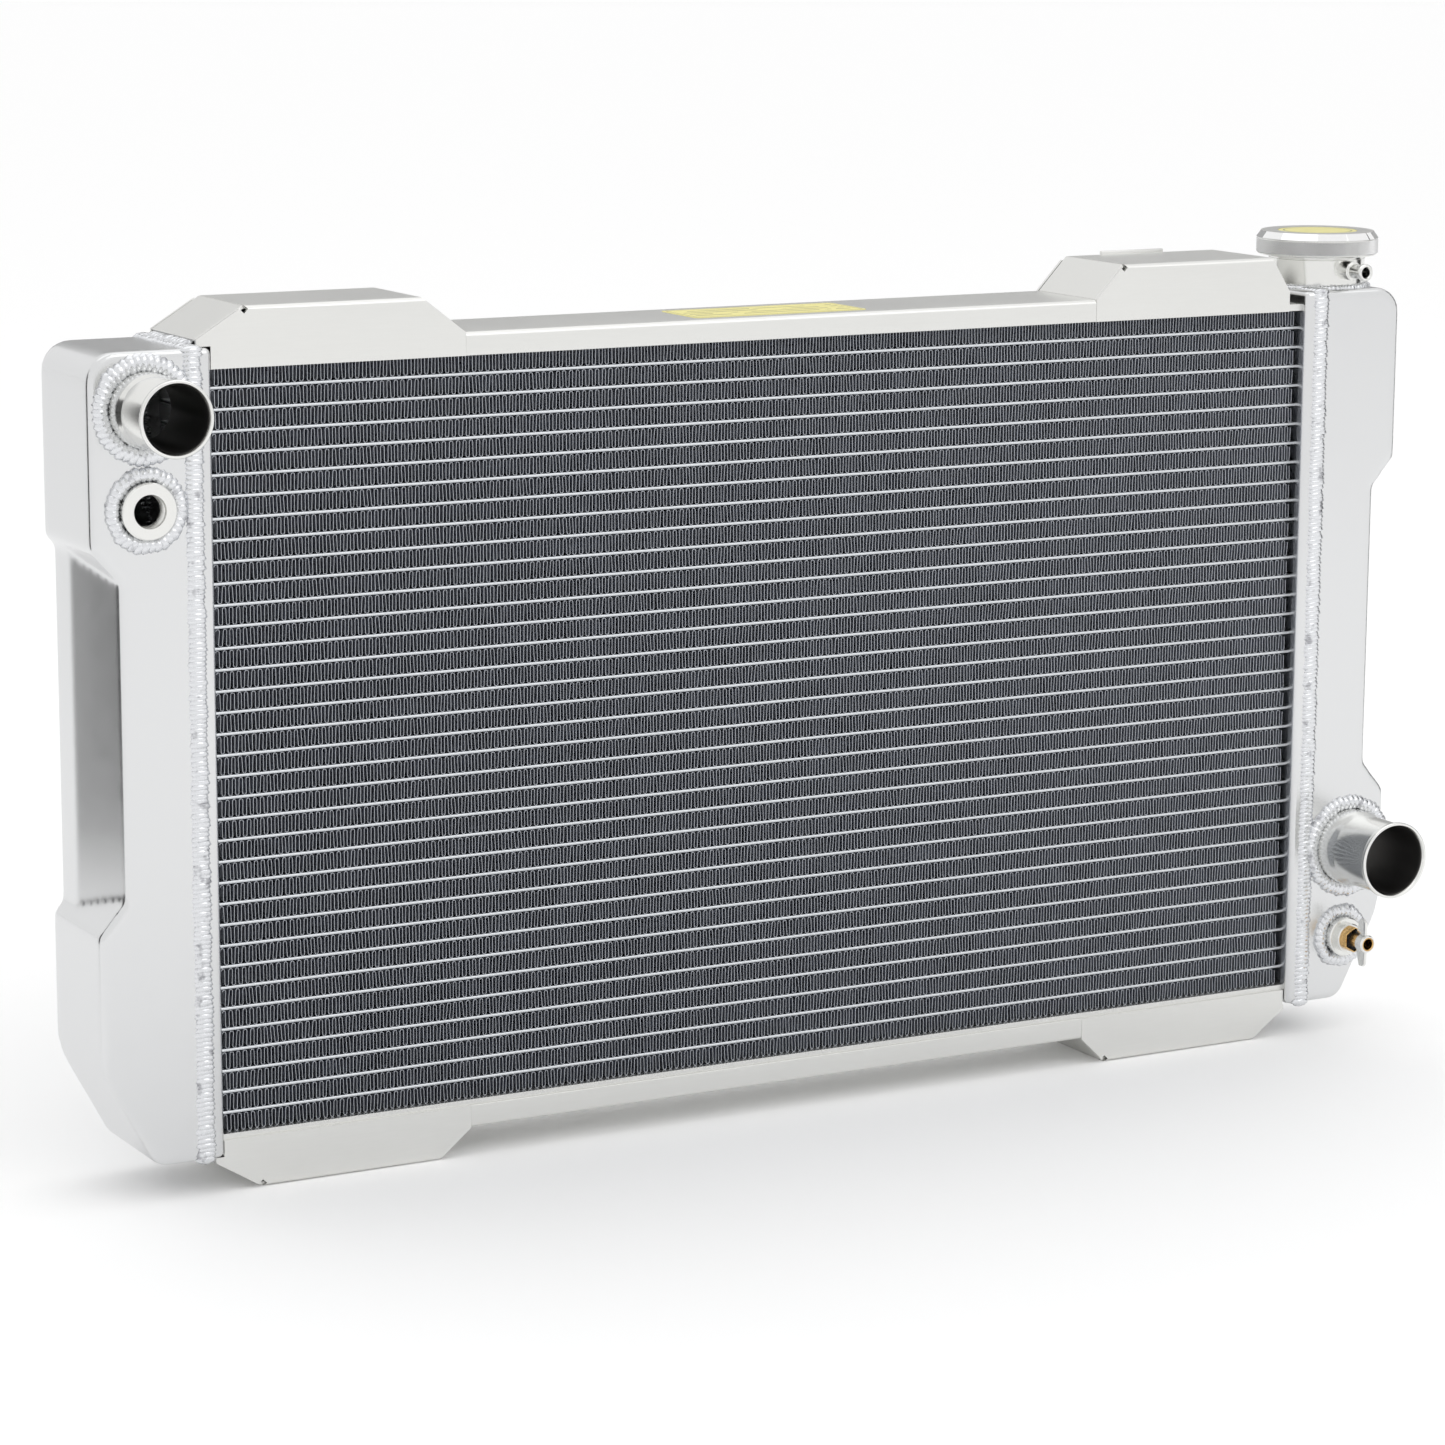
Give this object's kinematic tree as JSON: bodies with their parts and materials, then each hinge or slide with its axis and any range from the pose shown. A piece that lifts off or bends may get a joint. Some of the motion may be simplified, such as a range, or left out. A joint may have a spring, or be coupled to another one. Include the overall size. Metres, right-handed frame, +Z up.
{
  "type": "car radiator",
  "caption": "Crossflow aluminium car radiator with a tube and fin core, welded side tanks, folded brackets, hose necks, a drain tap and a pressure cap.",
  "frame": {"origin": "middle of the whole part's underside, at the height of the lower brackets' faces", "axes": "+X from the inlet tank to the outlet tank, -Y the front where the hose necks point, +Z up"},
  "size_m": [0.851, 0.1232, 0.4989],
  "materials": {
    "sheet_satin": "satin rolled sheet",
    "tank_satin": "satin formed sheet",
    "tube_bright": "bright drawn tube",
    "fin_dark": "dull thin fin sheet",
    "weld_bead": "rippled weld",
    "turned_bright": "turned and polished",
    "cap_knurled": "knurled rim with polished bevel",
    "disc_yellow": "printed disc",
    "spring_steel": "drawn wire",
    "valve_metal": "pressed plate",
    "rubber": "matt",
    "brass": "turned",
    "wing_zinc": "plated",
    "label_yellow": "printed film"
  },
  "bodies": {
    "root": {"front_tubes": "tube_bright", "rear_tubes": "tube_bright", "fin_rows": "fin_dark", "core_plate_top": "sheet_satin", "core_plate_bottom": "sheet_satin", "header_left": "tank_satin", "header_right": "tank_satin", "tank_left": "tank_satin", "tank_right": "tank_satin", "seam_weld_left": "weld_bead", "seam_weld_right": "weld_bead", "channel_top": "sheet_satin", "channel_bottom": "sheet_satin", "bracket_top_left": "sheet_satin", "bracket_top_right": "sheet_satin", "bracket_bottom_left": "sheet_satin", "bracket_bottom_right": "sheet_satin", "bracket_weld": "weld_bead", "inlet_neck": "turned_bright", "inlet_weld": "weld_bead", "outlet_neck": "turned_bright", "outlet_weld": "weld_bead", "sensor_boss": "turned_bright", "sensor_weld": "weld_bead", "drain_boss": "turned_bright", "drain_weld": "weld_bead", "filler_neck": "turned_bright", "filler_weld": "weld_bead", "overflow_nipple": "turned_bright", "drain_body": "brass", "notice_label": "label_yellow"},
    "cap_valve": {"valve_carrier": "valve_metal", "cap_rivet": "valve_metal", "cap_gasket": "rubber", "pressure_spring": "spring_steel"},
    "cap": {"cap_shell": "cap_knurled", "cap_lock_ring": "turned_bright", "cap_disc": "disc_yellow"},
    "pressure_valve": {"pressure_plate": "valve_metal", "pressure_gasket": "rubber", "vacuum_spring": "spring_steel"},
    "vacuum_poppet": {"vacuum_valve": "valve_metal"},
    "drain_carrier": {"drain_seal": "rubber"},
    "drain_tap": {"drain_stem": "brass", "drain_wing": "wing_zinc"}
  },
  "joints": [
    {"name": "cap_rise", "type": "slide", "parent": "root", "child": "cap_valve", "axis": [0, 0, 1], "range_m": [0, 0.0024]},
    {"name": "cap_turn", "type": "hinge", "parent": "cap_valve", "child": "cap", "pos_m": [0.3882, 0.0234, 0.4924], "axis": [0, 0, 1], "range_deg": [0, 90]},
    {"name": "pressure_relief", "type": "slide", "parent": "cap_valve", "child": "pressure_valve", "axis": [0, 0, 1], "range_m": [0, 0.003], "stiffness_N_per_m": 8000, "springref_m": -0.006, "deforming": ["pressure_spring"]},
    {"name": "vacuum_relief", "type": "slide", "parent": "pressure_valve", "child": "vacuum_poppet", "axis": [0, 0, -1], "range_m": [0, 0.0015], "stiffness_N_per_m": 100, "springref_m": -0.002, "deforming": ["vacuum_spring"]},
    {"name": "drain_screw", "type": "slide", "parent": "root", "child": "drain_carrier", "axis": [0, -1, 0], "range_m": [0, 0.00125]},
    {"name": "drain_turn", "type": "hinge", "parent": "drain_carrier", "child": "drain_tap", "pos_m": [0.3955, -0.0326, 0.0609], "axis": [0, -1, 0], "range_deg": [0, 360]}
  ],
  "couplings": [
    {"joint": "cap_turn", "follows": "cap_rise", "rad_per_m": 654.5},
    {"joint": "drain_turn", "follows": "drain_screw", "rad_per_m": 5026.5}
  ]
}
